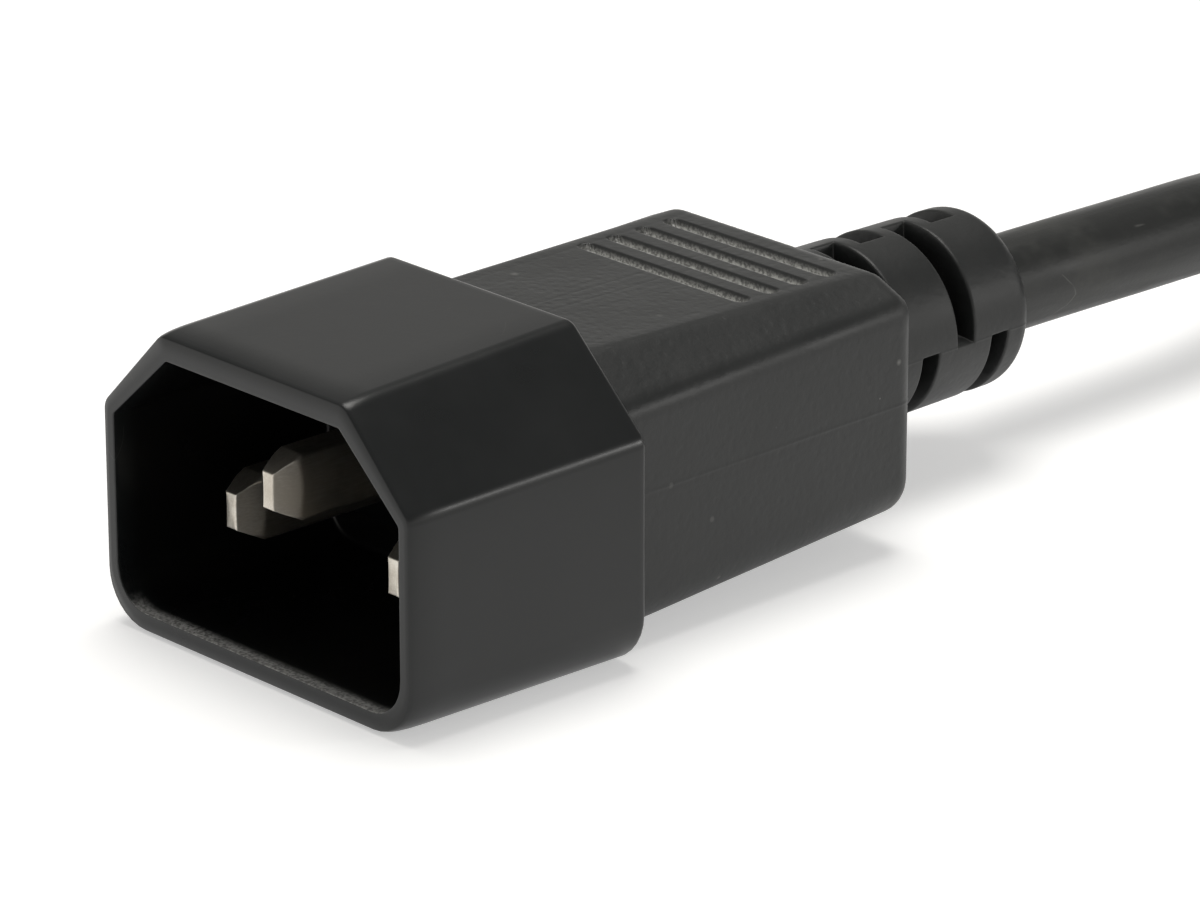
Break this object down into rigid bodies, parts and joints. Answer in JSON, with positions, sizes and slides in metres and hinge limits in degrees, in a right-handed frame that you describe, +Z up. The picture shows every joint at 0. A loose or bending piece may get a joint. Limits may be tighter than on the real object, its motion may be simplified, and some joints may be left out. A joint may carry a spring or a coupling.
{
  "type": "c14 appliance plug on a lead",
  "caption": "Moulded C14 plug with flat pins in a bevelled shroud, slotted strain relief and a tied lead that ends in a C13 connector.",
  "frame": {"origin": "middle of the plug's box, without its lead, on the surface it rests on", "axes": "+Y along the plug from its mouth to its lead, +Z up, +X to the right seen from the mouth's side"},
  "size_m": [0.063, 0.1985, 0.0324],
  "materials": {
    "shroud_plastic": "semi-gloss black moulded thermoplastic",
    "grip_pvc": "matte black PVC with a fine moulded texture",
    "pin_nickel": "bright nickel plate on brass",
    "wire_copper": "bare copper strands",
    "wire_brown": "satin brown insulation",
    "wire_blue": "satin blue insulation",
    "wire_green_yellow": "satin green and yellow insulation",
    "cord_jacket": "satin black PVC jacket",
    "strap_weave": "black woven strap",
    "nose_plastic": "semi-gloss black moulded thermoplastic",
    "contact_brass": "plain brass spring sheet"
  },
  "bodies": {
    "root": {"plug_shroud": "shroud_plastic", "plug_grip": "grip_pvc", "pin_line": "pin_nickel", "pin_neutral": "pin_nickel", "pin_earth": "pin_nickel", "plug_copper_line": "wire_copper", "plug_copper_neutral": "wire_copper", "plug_copper_earth": "wire_copper", "plug_wire_line": "wire_brown", "plug_wire_neutral": "wire_blue", "plug_wire_earth": "wire_green_yellow", "cord_run": "cord_jacket", "cord_hank": "cord_jacket", "cord_tail": "cord_jacket", "hank_strap": "strap_weave", "connector_nose": "nose_plastic", "connector_grip": "grip_pvc", "contact_line": "contact_brass", "contact_neutral": "contact_brass", "contact_earth": "contact_brass", "connector_copper_line": "wire_copper", "connector_copper_neutral": "wire_copper", "connector_copper_earth": "wire_copper", "connector_wire_line": "wire_brown", "connector_wire_neutral": "wire_blue", "connector_wire_earth": "wire_green_yellow"}
  },
  "joints": []
}
